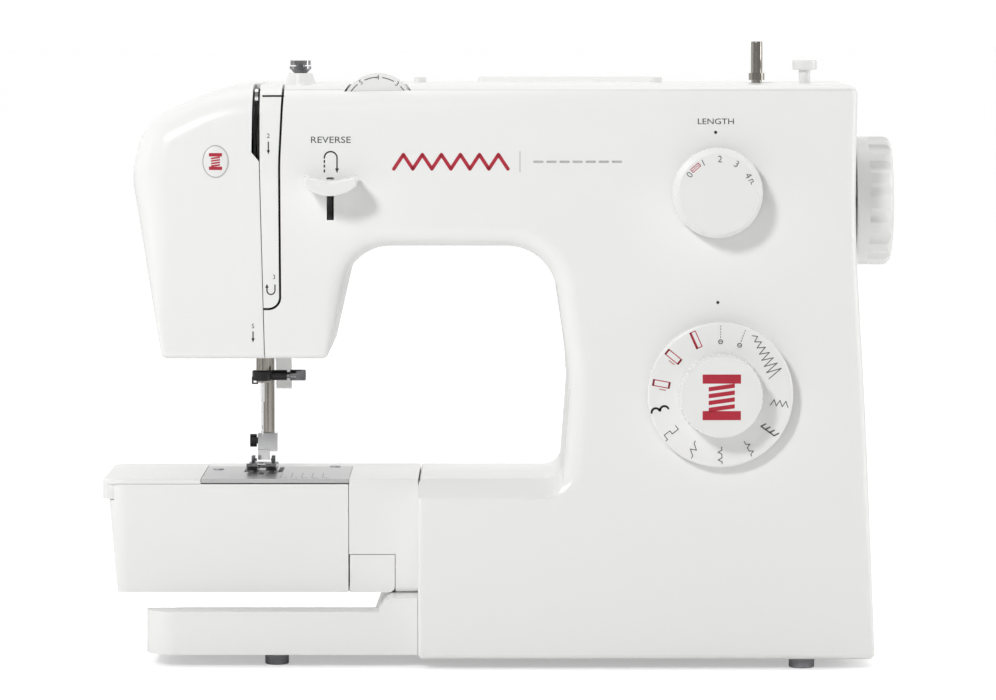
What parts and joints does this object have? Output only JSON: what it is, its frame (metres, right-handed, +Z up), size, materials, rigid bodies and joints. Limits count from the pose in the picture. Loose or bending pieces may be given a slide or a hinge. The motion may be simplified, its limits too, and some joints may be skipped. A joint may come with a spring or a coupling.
{
  "type": "sewing machine",
  "caption": "Free-arm domestic sewing machine with stitch and length dials, reverse lever, hand wheel, carry handle and hinged shuttle and face covers.",
  "frame": {"origin": "under the middle of the machine's bounding box, on the table plane that its feet stand on", "axes": "+X along the arm towards the hand wheel, +Y from the front to the back, +Z up"},
  "size_m": [0.38, 0.1697, 0.297],
  "materials": {
    "casing": "white moulded gloss",
    "inner_plastic": "light grey moulded",
    "controls": "white moulded satin gloss",
    "plate_steel": "brushed",
    "chrome": "polished",
    "steel": "ground",
    "cast_frame": "as cast",
    "bronze": "sintered",
    "motor_paint": "satin",
    "belt_rubber": "matt",
    "foot_rubber": "matt",
    "dark_plastic": "matt",
    "lamp_glass": "frosted"
  },
  "bodies": {
    "case": {"front_cover": "casing", "thread_guide_strip": "casing", "top_cover": "casing", "rear_cover": "casing", "bottom_plate": "inner_plastic", "base_tray": "casing", "free_arm_shell": "casing", "bed_cover": "casing", "cover_screws": "steel", "needle_plate": "plate_steel", "needle_plate_screws": "steel", "arm_front_panel": "casing", "shuttle_door_pin": "steel", "face_cover_pin": "steel", "main_frame": "cast_frame", "bushings": "bronze", "motor": "motor_paint", "drive_belt": "belt_rubber", "shuttle_race": "steel", "bobbin_case": "steel", "take_up_pin": "steel", "tension_stud": "steel", "reverse_pin": "steel", "power_inlet": "dark_plastic", "bobbin_guide_base": "controls", "bobbin_guide_stud": "chrome", "winder_stop": "controls", "rubber_feet": "foot_rubber"},
    "face_door": {"face_cover": "casing"},
    "arm_door": {"shuttle_door": "casing"},
    "drive_line": {"main_shaft": "steel", "main_crank": "steel", "shaft_pulley": "dark_plastic", "hand_wheel": "controls"},
    "motor_rotor": {"motor_pulley": "steel"},
    "lower_drive": {"lower_shaft": "steel"},
    "hook": {"shuttle_hook": "steel"},
    "bobbin_reel": {"bobbin": "steel"},
    "feed_slide": {"feed_carrier": "steel"},
    "feed_teeth": {"feed_dog": "steel"},
    "needle_unit": {"needle_bar": "chrome", "needle_clamp": "steel", "clamp_screw": "chrome", "needle": "chrome"},
    "presser_unit": {"presser_bar": "steel", "presser_ankle": "steel", "ankle_screw": "steel"},
    "foot": {"presser_foot": "chrome"},
    "lifter": {"presser_lifter": "controls"},
    "take_up": {"take_up_lever": "chrome"},
    "stitch_length": {"length_dial": "controls"},
    "stitch_pattern": {"pattern_dial": "controls"},
    "thread_tension": {"tension_dial": "controls"},
    "reverse": {"reverse_lever": "controls"},
    "switch_rocker": {"power_switch": "dark_plastic"},
    "winder_slide": {"winder_carriage": "inner_plastic"},
    "winder": {"winder_spindle": "chrome"},
    "left_spool": {"spool_pin_left": "controls"},
    "right_spool": {"spool_pin_right": "controls"},
    "handle": {"carry_handle": "controls"}
  },
  "joints": [
    {"name": "hand_wheel_turn", "type": "hinge", "parent": "case", "child": "drive_line", "pos_m": [0.18, 0, 0.22], "axis": [1, 0, 0], "continuous": true},
    {"name": "motor_spin", "type": "hinge", "parent": "case", "child": "motor_rotor", "pos_m": [0.135, 0.036, 0.062], "axis": [1, 0, 0], "continuous": true},
    {"name": "needle_bar_slide", "type": "slide", "parent": "case", "child": "needle_unit", "axis": [0, 0, 1], "range_m": [-0.033, 0]},
    {"name": "take_up_swing", "type": "hinge", "parent": "case", "child": "take_up", "pos_m": [-0.1145, -0.012, 0.236], "axis": [1, 0, 0], "range_deg": [0, 30]},
    {"name": "presser_lifter_turn", "type": "hinge", "parent": "case", "child": "lifter", "pos_m": [-0.104, 0.034, 0.163], "axis": [1, 0, 0], "range_deg": [0, 50]},
    {"name": "presser_bar_lift", "type": "slide", "parent": "case", "child": "presser_unit", "axis": [0, 0, 1], "range_m": [0, 0.006]},
    {"name": "foot_tilt", "type": "hinge", "parent": "presser_unit", "child": "foot", "pos_m": [-0.1145, 0.008, 0.093], "axis": [1, 0, 0], "range_deg": [-2.5, 2.5]},
    {"name": "feed_travel", "type": "slide", "parent": "case", "child": "feed_slide", "axis": [0, 1, 0], "range_m": [-0.002, 0.002]},
    {"name": "feed_drop", "type": "slide", "parent": "feed_slide", "child": "feed_teeth", "axis": [0, 0, 1], "range_m": [-0.0024, 0]},
    {"name": "lower_shaft_rock", "type": "hinge", "parent": "case", "child": "lower_drive", "pos_m": [0, 0.016, 0.058], "axis": [1, 0, 0], "range_deg": [-40, 40]},
    {"name": "hook_swing", "type": "hinge", "parent": "case", "child": "hook", "pos_m": [-0.1145, 0.005, 0.058], "axis": [0, 1, 0], "range_deg": [-100, 100]},
    {"name": "bobbin_spin", "type": "hinge", "parent": "case", "child": "bobbin_reel", "pos_m": [-0.1145, -0.008, 0.058], "axis": [0, 1, 0], "continuous": true},
    {"name": "length_dial_turn", "type": "hinge", "parent": "case", "child": "stitch_length", "pos_m": [0.1037, -0.07, 0.2261], "axis": [0, 1, 0], "range_deg": [-57, 57]},
    {"name": "pattern_dial_turn", "type": "hinge", "parent": "case", "child": "stitch_pattern", "pos_m": [0.105, -0.075, 0.131], "axis": [0, 1, 0], "continuous": true},
    {"name": "tension_dial_turn", "type": "hinge", "parent": "case", "child": "thread_tension", "pos_m": [-0.057, -0.045, 0.265], "axis": [0, 1, 0], "range_deg": [-160, 180]},
    {"name": "reverse_press", "type": "hinge", "parent": "case", "child": "reverse", "pos_m": [-0.0794, -0.025, 0.232], "axis": [1, 0, 0], "range_deg": [0, 11], "stiffness_Nm_per_rad": 0.35, "springref_deg": -3.44},
    {"name": "power_switch_rock", "type": "hinge", "parent": "case", "child": "switch_rocker", "pos_m": [0.168, 0.049, 0.039], "axis": [0, 1, 0], "range_deg": [-7, 7]},
    {"name": "winder_shift", "type": "slide", "parent": "case", "child": "winder_slide", "axis": [1, 0, 0], "range_m": [0, 0.004]},
    {"name": "winder_spin", "type": "hinge", "parent": "winder_slide", "child": "winder", "pos_m": [0.1252, 0, 0.27], "axis": [0, 0, 1], "continuous": true},
    {"name": "left_spool_pin_raise", "type": "slide", "parent": "case", "child": "left_spool", "axis": [0, 0, 1], "range_m": [0, 0.055]},
    {"name": "right_spool_pin_raise", "type": "slide", "parent": "case", "child": "right_spool", "axis": [0, 0, 1], "range_m": [0, 0.055]},
    {"name": "carry_handle_lift", "type": "hinge", "parent": "case", "child": "handle", "pos_m": [0.033, 0.045, 0.271], "axis": [1, 0, 0], "range_deg": [0, 160]},
    {"name": "face_cover_open", "type": "hinge", "parent": "case", "child": "face_door", "pos_m": [-0.1728, 0.013, 0.235], "axis": [0, 0, 1], "range_deg": [-85, 0]},
    {"name": "shuttle_door_open", "type": "hinge", "parent": "case", "child": "arm_door", "pos_m": [-0.181, 0.035, 0.056], "axis": [0, 0, 1], "range_deg": [-90, 0]}
  ],
  "couplings": [
    {"joint": "motor_spin", "follows": "hand_wheel_turn", "ratio": 4},
    {"joint": "hook_swing", "follows": "lower_shaft_rock", "ratio": 2.5},
    {"joint": "presser_lifter_turn", "follows": "presser_bar_lift", "rad_per_m": 145.44}
  ]
}
